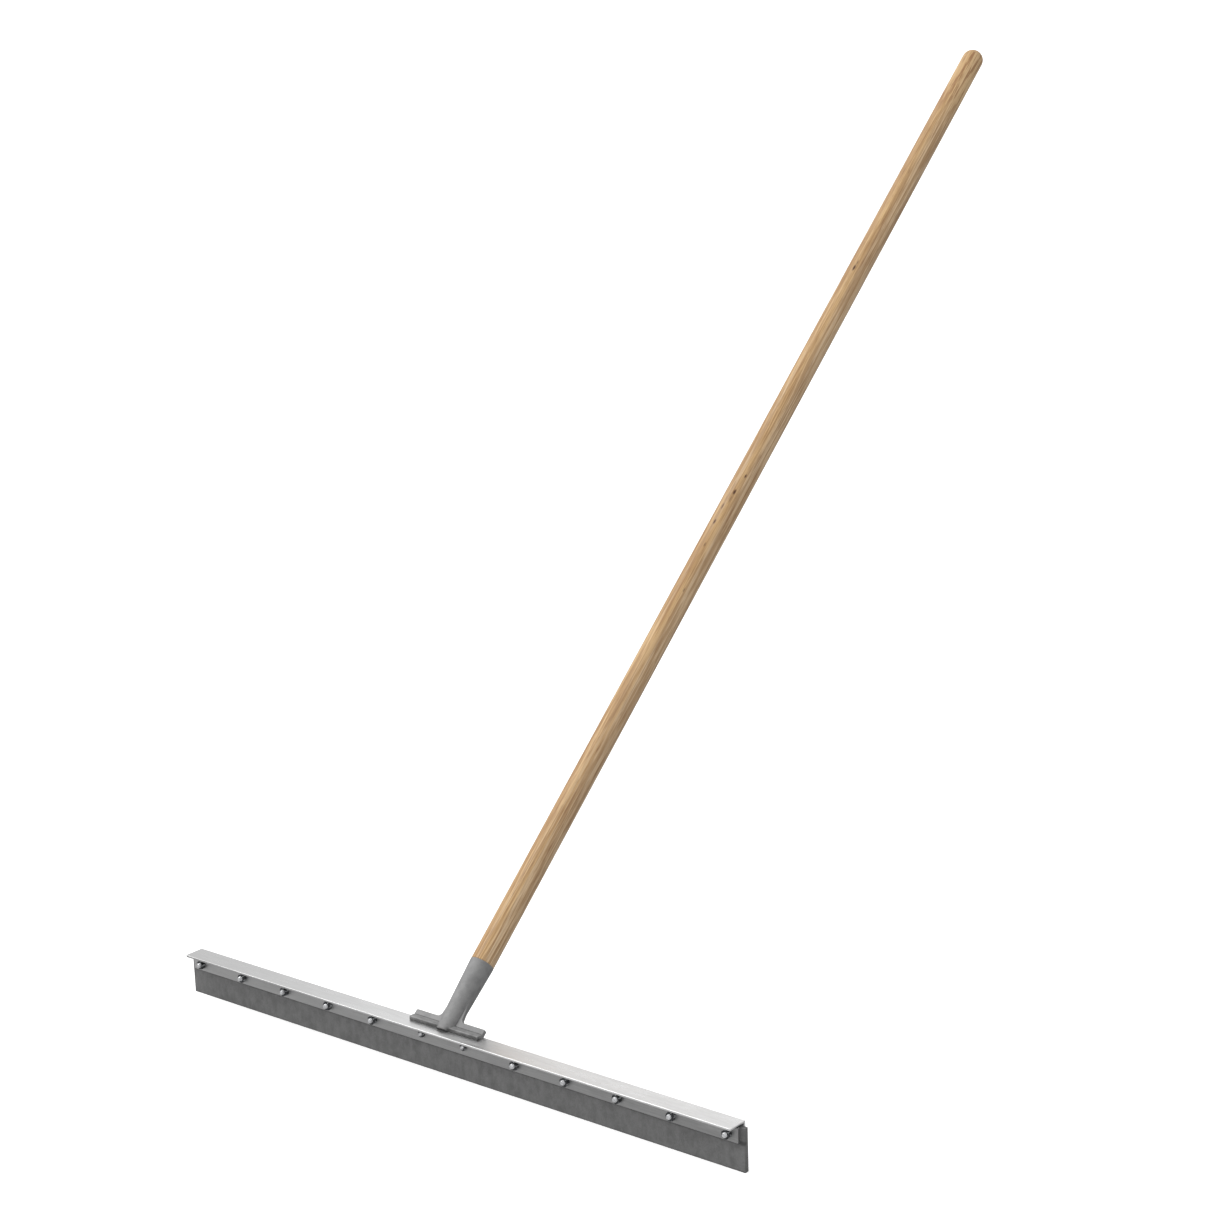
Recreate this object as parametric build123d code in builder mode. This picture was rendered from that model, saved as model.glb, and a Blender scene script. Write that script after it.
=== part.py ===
from build123d import *
import os
from math import cos, radians, sin, tan

# Long straight squeegee: a rubber strip clamped between an angle-section frame and a flat
# bar by a row of bolts, with a cast socket on the frame that holds a leaning wooden handle.
# Millimetres. X runs along the blade, Y points back to the side the handle leans to, Z is up.
# The origin is on the rubber's bottom face, below the middle of the frame, at mid thickness.

# ---- driving dimensions -------------------------------------------------------------------
# frame: an angle with a wide top flange and a leg behind the rubber
frame_length = 914.4
flange_depth = 29.0
frame_wall = 3.2
frame_leg_height = 25.4
frame_inner_radius = 1.4
flange_corner_radius = 2.0
frame_edge_radius = 0.5

# rubber blade
rubber_height = 55.0
rubber_thickness = 6.35
rubber_overhang_left = 8.0
rubber_overhang_right = 5.7
rubber_top_gap = 2.55
rubber_edge_radius = 0.4

# clamp bar in front of the rubber
bar_height = 19.05
bar_thickness = 4.0
bar_overhang_left = 1.8
bar_inset_right = 1.0
bar_top_gap = 2.2
bar_corner_radius = 1.0
bar_edge_radius = 0.5

# blade bolts and nuts, a row each side of the socket
blade_bolts_per_side = 5
blade_bolt_first = 120.0
blade_bolt_end_margin = 15.2
blade_bolt_diameter = 6.35
blade_hex_across_flats = 11.1
blade_nut_thickness = 5.6
blade_head_height = 4.2
blade_bolt_tip = 3.0

# socket bolts and nuts, smaller and a little higher
socket_bolt_offset = 35.4
socket_bolt_rise = 2.0
socket_bolt_diameter = 4.8
socket_hex_across_flats = 8.7
socket_nut_thickness = 3.2
socket_head_height = 3.2
socket_bolt_tip = 2.2

# fits shared by both sizes of bolt
hole_clearance = 0.4
thread_clearance = 0.1
hex_chamfer_angle = 30.0
bolt_tip_chamfer = 0.8
hex_turn_step = 23.0

# wooden handle
handle_diameter = 31.75
handle_length = 1676.4
handle_tilt = 48.0
handle_shoulder = 1.875
shoulder_chamfer = 0.5
tenon_taper = 2.8
tenon_clearance = 0.1
tenon_end_gap = 0.5

# cast socket, placed from the back face of the frame
socket_axis_inset = 4.5
socket_mouth_distance = 94.0
socket_nose_distance = 6.0
socket_bore_foot = 16.0
socket_lip = 0.325
socket_taper = 3.65
socket_mouth_round = 0.6
socket_nose_round = 1.6
base_front_inset = 12.5
base_end_margin = 11.5
base_height = 5.5
base_front_round = 1.2
base_back_round = 0.8
base_groove_width = 1.5
fin_thickness = 6.2
fin_height = 11.5
fin_corner_radius = 2.0
fin_edge_radius = 1.0
gusset_spread = 5.2
gusset_top_distance = 52.0
gusset_corner_radius = 6.0
tab_bolt_margin = 10.6
tab_thickness = 5.5
tab_drop = 22.0
tab_corner_radius = 6.0
tab_edge_radius = 1.0

# screw through the back of the socket into the handle
screw_distance = 72.0
screw_diameter = 4.2
screw_length = 20.0
screw_head_diameter = 8.6
screw_head_height = 2.6
screw_head_rim = 0.8
screw_point_length = 5.0
screw_slot_width = 1.2
screw_slot_depth = 1.0
screw_spot_depth = 1.0
screw_spot_margin = 0.6

# ---- places worked out from the dimensions --------------------------------------------------
flange_top = rubber_height + rubber_top_gap + frame_wall
flange_underside = flange_top - frame_wall
rubber_front = -rubber_thickness / 2
rubber_back = rubber_thickness / 2
frame_back = rubber_back + frame_wall
frame_front = frame_back - flange_depth
bar_front = rubber_front - bar_thickness
bar_top = flange_underside - bar_top_gap
bar_middle = bar_top - bar_height / 2
bar_left = -frame_length / 2 - bar_overhang_left
bar_right = frame_length / 2 - bar_inset_right
socket_bolt_level = bar_middle + socket_bolt_rise
socket_front = frame_back - base_front_inset
tab_back = frame_back + tab_thickness
tab_half_width = socket_bolt_offset + tab_bolt_margin
base_half_length = tab_half_width + base_end_margin
base_top = flange_top + base_height
handle_radius = handle_diameter / 2
handle_end = socket_bore_foot + tenon_end_gap + handle_length
tenon_mouth_radius = handle_radius - handle_shoulder
tenon_end_radius = tenon_mouth_radius - tenon_taper
socket_mouth_radius = handle_radius + socket_lip
socket_nose_radius = socket_mouth_radius - socket_taper
taper_length = socket_mouth_distance + socket_nose_distance
screw_rise = screw_distance + socket_nose_distance
screw_seat = socket_nose_radius + screw_rise * socket_taper / taper_length - screw_spot_depth
blade_bolt_span = frame_length / 2 - blade_bolt_end_margin - blade_bolt_first
blade_bolt_pitch = blade_bolt_span / (blade_bolts_per_side - 1)

tilt = radians(handle_tilt)
axis_foot = Vector(0, frame_back - socket_axis_inset, flange_top)
axis_direction = Vector(0, sin(tilt), cos(tilt))
back_direction = Vector(0, cos(tilt), -sin(tilt))
fin_front = axis_foot.Y + base_height * tan(tilt) - fin_thickness / 2 / cos(tilt)
base_back = fin_front - base_groove_width

os.makedirs("parts", exist_ok=True)


def along_handle(distance):
    """Point on the handle's axis, a distance from where it meets the flange's top."""
    return axis_foot + axis_direction * distance


def section_plane():
    """Plane through the handle's axis: local X is sideways, local Y runs up the handle."""
    return Plane(origin=axis_foot, x_dir=(1, 0, 0), z_dir=-back_direction)


def screw_plane(distance=0.0):
    """Plane square to the handle's screw, a distance out from the handle's axis to the back."""
    origin = along_handle(screw_distance) + back_direction * distance
    return Plane(origin=origin, x_dir=(1, 0, 0), z_dir=back_direction)


def save(piece, name):
    """Label a finished piece and write its STEP file."""
    piece.part.label = name
    export_step(piece.part, f"parts/{name}.step")


def bolt_places():
    """Sideways places of the blade bolts, from the left end to the right."""
    right = [blade_bolt_first + blade_bolt_pitch * step for step in range(blade_bolts_per_side)]
    return [-place for place in reversed(right)] + right


blade_bolt_points = [(place, bar_middle) for place in bolt_places()]
socket_bolt_points = [(side * socket_bolt_offset, socket_bolt_level) for side in (-1, 1)]


def bolt_holes(front, back):
    """Cut both rows of bolt holes through what lies between two Y places."""
    for points, diameter in (
        (blade_bolt_points, blade_bolt_diameter),
        (socket_bolt_points, socket_bolt_diameter),
    ):
        with BuildSketch(Plane.XZ.offset(-back)) as holes:
            with Locations(*points):
                Circle((diameter + hole_clearance) / 2)
        extrude(holes.sketch, amount=back - front, mode=Mode.SUBTRACT)


# ---- rubber blade ---------------------------------------------------------------------------
rubber_left = -frame_length / 2 - rubber_overhang_left
rubber_right = frame_length / 2 + rubber_overhang_right

with BuildPart() as rubber_blade:
    with BuildSketch(Plane.YZ.offset(rubber_left)):
        with Locations((0, rubber_height / 2)):
            Rectangle(rubber_thickness, rubber_height)
    extrude(amount=rubber_right - rubber_left)
    fillet(rubber_blade.edges().filter_by(Axis.Z), rubber_edge_radius)
    bolt_holes(rubber_front, rubber_back)
save(rubber_blade, "rubber_blade")

# ---- frame angle ----------------------------------------------------------------------------
with BuildPart() as frame_angle:
    with BuildSketch(Plane.YZ.offset(-frame_length / 2)) as frame_section:
        with BuildLine():
            Polyline(
                (frame_front, flange_top),
                (frame_back, flange_top),
                (frame_back, flange_top - frame_leg_height),
                (rubber_back, flange_top - frame_leg_height),
                (rubber_back, flange_underside),
                (frame_front, flange_underside),
                close=True,
            )
        make_face()
        inner_corner = frame_section.vertices().sort_by_distance(
            (-frame_length / 2, rubber_back, flange_underside)
        )[0]
        fillet(inner_corner, frame_inner_radius)
    extrude(amount=frame_length)
    front_corners = frame_angle.edges().filter_by(Axis.Z).group_by(Axis.Y)[0]
    fillet(front_corners, flange_corner_radius)
    fillet(frame_angle.faces().sort_by(Axis.Z)[-1].edges(), frame_edge_radius)
    fillet(frame_angle.edges().filter_by(Axis.X).group_by(Axis.Z)[0], frame_edge_radius)
    bolt_holes(rubber_back, frame_back)
save(frame_angle, "frame_angle")

# ---- clamp bar ------------------------------------------------------------------------------
with BuildPart() as clamp_bar:
    with BuildSketch(Plane.XZ.offset(-rubber_front)) as bar_face:
        with Locations(((bar_left + bar_right) / 2, bar_middle)):
            Rectangle(bar_right - bar_left, bar_height)
        fillet(bar_face.vertices(), bar_corner_radius)
    extrude(amount=bar_thickness)
    fillet(clamp_bar.faces().sort_by(Axis.Y)[0].edges(), bar_edge_radius)
    bolt_holes(bar_front, rubber_front)
save(clamp_bar, "clamp_bar")

# ---- cast socket ----------------------------------------------------------------------------
# The base bar lies on the flange. A fin in the plane of the handle's axis leans back behind it,
# with a groove between them, and rises as a gusset on both sides of the tube. The rear tab
# hangs behind the frame's leg.
with BuildPart() as socket_base:
    with BuildSketch(Plane.YZ.offset(-base_half_length)):
        with Locations(((socket_front + base_back) / 2, (flange_top + base_top) / 2)):
            Rectangle(base_back - socket_front, base_height)
    extrude(amount=2 * base_half_length)
    long_top_edges = socket_base.edges().filter_by(Axis.X).group_by(Axis.Z)[-1]
    fillet(long_top_edges.sort_by(Axis.Y)[0], base_front_round)
    long_top_edges = socket_base.edges().filter_by(Axis.X).group_by(Axis.Z)[-1]
    fillet(long_top_edges.sort_by(Axis.Y)[-1], base_back_round)

    gusset_side = socket_nose_radius + gusset_spread
    with BuildSketch(section_plane()) as fin_face:
        with BuildLine():
            Polyline(
                (-base_half_length, -fin_thickness),
                (-base_half_length, fin_height),
                (-gusset_side, fin_height),
                (-socket_nose_radius, gusset_top_distance),
                (socket_nose_radius, gusset_top_distance),
                (gusset_side, fin_height),
                (base_half_length, fin_height),
                (base_half_length, -fin_thickness),
                close=True,
            )
        make_face()
        gusset_feet = [
            fin_face.vertices().sort_by_distance(
                section_plane().from_local_coords(Vector(side * gusset_side, fin_height, 0))
            )[0]
            for side in (-1, 1)
        ]
        fillet(gusset_feet, gusset_corner_radius)
        fin_ends = [
            fin_face.vertices().sort_by_distance(
                section_plane().from_local_coords(Vector(side * base_half_length, fin_height, 0))
            )[0]
            for side in (-1, 1)
        ]
        fillet(fin_ends, fin_corner_radius)
    extrude(fin_face.sketch, amount=fin_thickness / 2, both=True)
    fin_faces = socket_base.faces().filter_by(section_plane())
    fin_top_edges = [
        edge
        for edge in fin_faces.edges()
        if axis_direction.dot(edge.center() - axis_foot) > fin_height - gusset_corner_radius
        and edge.center().Z > base_top + fin_edge_radius
    ]
    fillet(fin_top_edges, fin_edge_radius)

    # cut level with the flange's top
    with BuildSketch(Plane.XY.offset(flange_top)) as underside:
        with Locations((0, axis_foot.Y)):
            Rectangle(2 * frame_length, 4 * flange_depth)
    extrude(underside.sketch, amount=-flange_depth, mode=Mode.SUBTRACT)

with BuildPart() as rear_tab:
    with BuildSketch(Plane.XZ.offset(-frame_back)) as tab_face:
        with Locations((0, base_top - (tab_drop + base_height) / 2)):
            Rectangle(2 * tab_half_width, tab_drop + base_height)
        fillet(tab_face.vertices().group_by(Axis.Z)[0], tab_corner_radius)
    extrude(amount=-tab_thickness)
    fillet(rear_tab.faces().sort_by(Axis.Y)[-1].edges(), tab_edge_radius)

with BuildPart() as handle_socket:
    with BuildSketch(section_plane()):
        with BuildLine():
            Polyline(
                (0, -socket_nose_distance),
                (socket_nose_radius, -socket_nose_distance),
                (socket_mouth_radius, socket_mouth_distance),
                (0, socket_mouth_distance),
                close=True,
            )
        make_face()
    revolve(axis=Axis(axis_foot, axis_direction))
    tube_rims = handle_socket.edges().filter_by(GeomType.CIRCLE).sort_by(Axis.Z)
    fillet(tube_rims[0], socket_nose_round)
    fillet(handle_socket.edges().filter_by(GeomType.CIRCLE).sort_by(Axis.Z)[-1], socket_mouth_round)

    # clear the frame, then add the base and the rear tab, which already stop at it
    with BuildSketch(Plane.YZ.offset(-base_half_length)):
        with Locations((frame_back - flange_depth, flange_top - flange_depth)):
            Rectangle(2 * flange_depth, 2 * flange_depth)
    extrude(amount=2 * base_half_length, mode=Mode.SUBTRACT)
    add(socket_base.part)
    add(rear_tab.part)

    # tapered bore for the handle's tenon
    with BuildSketch(section_plane()):
        with BuildLine():
            Polyline(
                (0, socket_bore_foot),
                (tenon_end_radius + tenon_clearance, socket_bore_foot),
                (tenon_mouth_radius + tenon_clearance, socket_mouth_distance),
                (0, socket_mouth_distance),
                close=True,
            )
        make_face()
    revolve(axis=Axis(axis_foot, axis_direction), mode=Mode.SUBTRACT)

    # flat seat and clearance hole for the handle's screw, and the holes for the socket bolts
    with BuildSketch(screw_plane(screw_seat)) as spot_face:
        Circle(screw_head_diameter / 2 + screw_spot_margin)
    extrude(spot_face.sketch, amount=socket_mouth_radius, mode=Mode.SUBTRACT)
    with BuildSketch(screw_plane()) as screw_hole:
        Circle((screw_diameter + hole_clearance) / 2)
    extrude(screw_hole.sketch, amount=2 * socket_mouth_radius, mode=Mode.SUBTRACT)
    bolt_holes(frame_back, tab_back)
save(handle_socket, "handle_socket")

# ---- wooden handle --------------------------------------------------------------------------
dome_start = handle_end - handle_radius

with BuildPart() as handle:
    with BuildSketch(section_plane()):
        with BuildLine():
            Polyline(
                (0, handle_end),
                (0, socket_bore_foot + tenon_end_gap),
                (tenon_end_radius, socket_bore_foot + tenon_end_gap),
                (tenon_mouth_radius, socket_mouth_distance),
                (handle_radius - shoulder_chamfer, socket_mouth_distance),
                (handle_radius, socket_mouth_distance + shoulder_chamfer),
                (handle_radius, dome_start),
            )
            CenterArc((0, dome_start), handle_radius, 0, 90)
        make_face()
    revolve(axis=Axis(axis_foot, axis_direction))
    with BuildSketch(screw_plane(screw_seat - screw_length)) as pilot_hole:
        Circle(screw_diameter / 2)
    extrude(pilot_hole.sketch, amount=screw_length, mode=Mode.SUBTRACT)
save(handle, "handle")

# ---- handle screw ---------------------------------------------------------------------------
screw_axis = Axis(screw_plane().origin, back_direction)
screw_section = Plane(origin=screw_plane(screw_seat).origin, x_dir=(1, 0, 0), z_dir=axis_direction)

with BuildPart() as handle_screw:
    with BuildSketch(screw_section):
        with BuildLine():
            Polyline(
                (0, screw_head_height),
                (0, -screw_length),
                (screw_diameter / 2, screw_point_length - screw_length),
                (screw_diameter / 2, 0),
                (screw_head_diameter / 2, 0),
                (screw_head_diameter / 2, screw_head_rim),
            )
            EllipticalCenterArc(
                (0, screw_head_rim),
                screw_head_diameter / 2,
                screw_head_height - screw_head_rim,
                arc_size=90,
            )
        make_face()
    revolve(axis=screw_axis)
    with BuildSketch(screw_plane(screw_seat + screw_head_height)) as slot:
        Rectangle(screw_head_diameter, screw_slot_width)
    extrude(slot.sketch, amount=-screw_slot_depth, mode=Mode.SUBTRACT)
save(handle_screw, "handle_screw")


# ---- bolts and nuts -------------------------------------------------------------------------
def hex_outline(across_flats, height, both_ends):
    """Half section that trims a hexagon's corners at its free end, or at both ends."""
    corner = across_flats / 2 / cos(radians(30)) + thread_clearance
    flat = across_flats / 2
    drop = (corner - flat) * tan(radians(hex_chamfer_angle))
    foot = [(flat, 0), (corner, drop)] if both_ends else [(corner, 0)]
    return [(0, 0), *foot, (corner, height - drop), (flat, height), (0, height)]


def hex_block(origin, facing, across_flats, height, turn, both_ends):
    """Hexagon with trimmed corners that rises from an origin, as a part in the open builder."""
    base = Plane(origin=origin, x_dir=(1, 0, 0), z_dir=facing)
    with BuildSketch(base) as hexagon:
        RegularPolygon(across_flats / 2, 6, major_radius=False, rotation=turn)
    extrude(hexagon.sketch, amount=height)
    side = Plane(origin=origin, x_dir=(1, 0, 0), z_dir=Vector(1, 0, 0).cross(Vector(*facing)))
    with BuildSketch(side) as trim:
        with BuildLine() as outline:
            Polyline(*hex_outline(across_flats, height, both_ends), close=True)
        make_face(outline.edges())
    revolve(trim.sketch, axis=Axis(origin, facing), mode=Mode.INTERSECT)


def hex_bolt(place, level, seat, grip, sizes, turn):
    """Bolt with its head on a seat facing the back and its tip past the nut in front."""
    with BuildPart() as bolt:
        hex_block((place, seat, level), (0, 1, 0), sizes["flats"], sizes["head"], turn, False)
        length = grip + sizes["nut"] + sizes["tip"]
        with BuildSketch(Plane.XZ.offset(-seat)) as shank:
            with Locations((place, level)):
                Circle(sizes["diameter"] / 2)
        extrude(shank.sketch, amount=length)
        chamfer(bolt.edges().sort_by(Axis.Y)[0], bolt_tip_chamfer)
    return bolt


def hex_nut(place, level, sizes, turn):
    """Nut against the front of the clamp bar."""
    with BuildPart() as nut:
        hex_block((place, bar_front, level), (0, -1, 0), sizes["flats"], sizes["nut"], turn, True)
        with BuildSketch(Plane.XZ.offset(-bar_front)) as thread:
            with Locations((place, level)):
                Circle((sizes["diameter"] + thread_clearance) / 2)
        extrude(thread.sketch, amount=sizes["nut"], mode=Mode.SUBTRACT)
    return nut


blade_sizes = {
    "diameter": blade_bolt_diameter,
    "flats": blade_hex_across_flats,
    "head": blade_head_height,
    "nut": blade_nut_thickness,
    "tip": blade_bolt_tip,
}
socket_sizes = {
    "diameter": socket_bolt_diameter,
    "flats": socket_hex_across_flats,
    "head": socket_head_height,
    "nut": socket_nut_thickness,
    "tip": socket_bolt_tip,
}

for kind, points, seat, sizes in (
    ("blade", blade_bolt_points, frame_back, blade_sizes),
    ("socket", socket_bolt_points, tab_back, socket_sizes),
):
    for number, (place, level) in enumerate(points, start=1):
        turn = number * hex_turn_step
        bolt = hex_bolt(place, level, seat, seat - bar_front, sizes, turn)
        save(bolt, f"{kind}_bolt_{number}")
        nut = hex_nut(place, level, sizes, -turn)
        save(nut, f"{kind}_nut_{number}")
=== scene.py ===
"""Looks for a long straight squeegee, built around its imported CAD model.

The extruded frame, the clamp bar and the rubber strip keep their CAD meshes and get their finishes
here. The fasteners, the cast socket, its screw and the wooden handle are modelled again in more
detail, each in the place of its CAD node. Everything is in metres, in the frame of the CAD model.
"""

import logging
import math
from collections.abc import Iterator, Sequence
from contextlib import contextmanager
from dataclasses import dataclass
from enum import Enum
from itertools import pairwise

import bpy
import numpy as np
from mathutils import Matrix, Vector


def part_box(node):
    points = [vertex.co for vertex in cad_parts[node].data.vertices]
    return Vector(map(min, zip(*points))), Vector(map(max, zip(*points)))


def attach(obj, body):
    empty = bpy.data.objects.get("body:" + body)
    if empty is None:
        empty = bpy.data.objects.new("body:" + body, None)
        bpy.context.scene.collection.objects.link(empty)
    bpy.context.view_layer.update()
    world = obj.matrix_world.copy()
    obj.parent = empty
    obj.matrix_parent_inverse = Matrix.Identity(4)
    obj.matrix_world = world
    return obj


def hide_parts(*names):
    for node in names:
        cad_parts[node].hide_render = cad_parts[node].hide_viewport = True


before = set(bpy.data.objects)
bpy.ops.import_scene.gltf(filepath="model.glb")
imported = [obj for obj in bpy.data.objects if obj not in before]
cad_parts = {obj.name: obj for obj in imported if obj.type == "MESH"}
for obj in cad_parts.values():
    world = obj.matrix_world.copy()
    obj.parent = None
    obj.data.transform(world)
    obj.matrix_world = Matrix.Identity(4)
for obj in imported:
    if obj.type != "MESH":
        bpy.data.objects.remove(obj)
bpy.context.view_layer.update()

log = logging.getLogger("squeegee")

Object = bpy.types.Object
Material = bpy.types.Material
Tree = bpy.types.NodeTree
Node = bpy.types.Node
Socket = bpy.types.NodeSocket
Colour = tuple[float, float, float]
Point = tuple[float, float, float]
Profile = Sequence[tuple[float, float]]

MM = 0.001
WHITE = (1, 1, 1, 1)
ROOT_BODY = "root"
THREAD_MERGE = 0.001 * MM
MERGE = 0.002 * MM
CAD_MERGE = 0.01 * MM
EDGE_WIDTH = 0.12 * MM
SHARP_ANGLE = math.radians(38)
ALL_ANGLES = 180.0
SMOOTH_ANGLE = 35.0
HANDLE_TILT = math.radians(48)
BASE_END_SHARE = 0.9
WEAR_PERCENTILE = 98


def grey(level: float) -> Colour:
    """Plain grey of one level."""
    return level, level, level


# ---- modelling helpers ------------------------------------------------------------------------
def deselect_all() -> None:
    """Leave nothing selected, so that an operator acts only on the piece in hand."""
    bpy.ops.object.select_all(action="DESELECT")


def take(piece: Object) -> None:
    """Make one object the only selected and the active one."""
    deselect_all()
    piece.select_set(True)
    bpy.context.view_layer.objects.active = piece


@contextmanager
def editing(piece: Object) -> Iterator[None]:
    """Open a piece in edit mode with all of it selected, and close it again afterwards.

    Args:
        piece: The mesh object to edit.
    """
    take(piece)
    bpy.ops.object.mode_set(mode="EDIT")
    bpy.ops.mesh.select_all(action="SELECT")
    yield
    bpy.ops.object.mode_set(mode="OBJECT")


def apply_modifier(piece: Object, kind: str, **settings: object) -> None:
    """Add a modifier to a piece and apply it at once.

    Args:
        piece: The mesh object to change.
        kind: The modifier's type, such as BEVEL.
        **settings: Properties to set on the modifier first.
    """
    take(piece)
    bpy.ops.object.modifier_add(type=kind)
    modifier = piece.modifiers[-1]
    for name, value in settings.items():
        setattr(modifier, name, value)
    bpy.ops.object.modifier_apply(modifier=modifier.name)


def combine(piece: Object, tool: Object, operation: str) -> None:
    """Join, cut or trim a piece with another closed shape, which is used up.

    Args:
        piece: The mesh object that keeps the result.
        tool: The closed shape to work with.
        operation: UNION, DIFFERENCE or INTERSECT.
    """
    apply_modifier(piece, "BOOLEAN", operation=operation, object=tool, solver="EXACT")
    bpy.data.objects.remove(tool)


def turned(name: str, profile: Profile, segments: int) -> Object:
    """Turn a closed round shape about Z by extruding and scaling a disc along a profile.

    Args:
        name: The new object's name.
        profile: Radius and height of each step, from one end of the axis to the other.
        segments: How many sides the round has.

    Returns:
        The new mesh object, at the origin.
    """
    deselect_all()
    radius, height = profile[0]
    bpy.ops.mesh.primitive_circle_add(vertices=segments, radius=radius, fill_type="NGON")
    piece = bpy.context.object
    piece.name = name
    with editing(piece):
        bpy.ops.transform.translate(value=(0, 0, height))
        for (radius, height), (next_radius, next_height) in pairwise(profile):
            step = (0, 0, next_height - height)
            bpy.ops.mesh.extrude_region_move(TRANSFORM_OT_translate={"value": step})
            ratio = next_radius / radius
            centre = (0, 0, next_height)
            bpy.ops.transform.resize(value=(ratio, ratio, 1), center_override=centre)
        bpy.ops.mesh.select_all(action="SELECT")
        bpy.ops.mesh.normals_make_consistent(inside=False)
    return piece


def smooth(piece: Object, angle: float = SMOOTH_ANGLE) -> None:
    """Shade a piece smooth, apart from edges sharper than an angle.

    Args:
        piece: The mesh object to shade.
        angle: The limit in degrees.
    """
    take(piece)
    bpy.ops.object.shade_smooth_by_angle(angle=math.radians(angle))


def mark_wear(piece: Object, blur_steps: int) -> None:
    """Store how far each point stands out of the surface round it, for edge wear and painted edge
    highlights, and for painted shade in corners.

    Args:
        piece: The mesh object, which gets a point attribute named wear, from -1 to 1.
        blur_steps: How many times the measure is spread to its neighbours.
    """
    mesh = piece.data
    count = len(mesh.vertices)
    places, normals = np.empty(count * 3), np.empty(count * 3)
    mesh.vertices.foreach_get("co", places)
    mesh.vertices.foreach_get("normal", normals)
    places, normals = places.reshape(-1, 3), normals.reshape(-1, 3)
    ends = np.empty(len(mesh.edges) * 2, dtype=np.int64)
    mesh.edges.foreach_get("vertices", ends)
    starts, stops = ends.reshape(-1, 2).T
    near = np.bincount(starts, minlength=count) + np.bincount(stops, minlength=count)

    def neighbours(values: np.ndarray) -> np.ndarray:
        """Mean of the values at each point's neighbours."""
        total = np.zeros_like(values)
        np.add.at(total, starts, values[stops])
        np.add.at(total, stops, values[starts])
        return total / np.maximum(near, 1)[:, None]

    length = np.linalg.norm(places[starts] - places[stops], axis=1).mean()
    stand = ((places - neighbours(places)) * normals).sum(axis=1, keepdims=True) / length
    for _ in range(blur_steps):
        stand = (stand + neighbours(stand)) / 2
    reach = np.percentile(np.abs(stand), WEAR_PERCENTILE) or 1.0
    wear = mesh.attributes.new("wear", "FLOAT", "POINT")
    wear.data.foreach_set("value", np.clip(stand[:, 0] / reach, -1, 1).astype(np.float32))


def soften(piece: Object) -> None:
    """Round a piece's sharp edges a little, clean its mesh, shade it and store its wear.

    Args:
        piece: The mesh object to finish.
    """
    with editing(piece):
        bpy.ops.mesh.remove_doubles(threshold=MERGE)
    limit = {"limit_method": "ANGLE", "angle_limit": SHARP_ANGLE}
    apply_modifier(piece, "BEVEL", width=EDGE_WIDTH, segments=2, **limit)
    with editing(piece):
        bpy.ops.mesh.dissolve_degenerate(threshold=MERGE)
        bpy.ops.mesh.remove_doubles(threshold=MERGE)
    piece.data.validate()
    smooth(piece)
    mark_wear(piece, 1)


def link_new(name: str, data: bpy.types.ID) -> Object:
    """Make an object of some data and put it in the scene."""
    piece = bpy.data.objects.new(name, data)
    bpy.context.scene.collection.objects.link(piece)
    return piece


def settle(piece: Object, node: str, finish: Material) -> None:
    """Give a new piece its finish and put it in the place of a CAD node.

    Args:
        piece: The new mesh object, already in place.
        node: The CAD node it stands for.
        finish: The material to wear.
    """
    piece.data.materials.clear()
    piece.data.materials.append(finish)
    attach(piece, ROOT_BODY)
    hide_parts(node)


def dress(node: str, finish: Material) -> None:
    """Put a finish on a CAD node that keeps its own mesh.

    Args:
        node: The CAD node's name.
        finish: The material to wear.
    """
    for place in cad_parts[node].material_slots:
        place.material = finish


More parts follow.
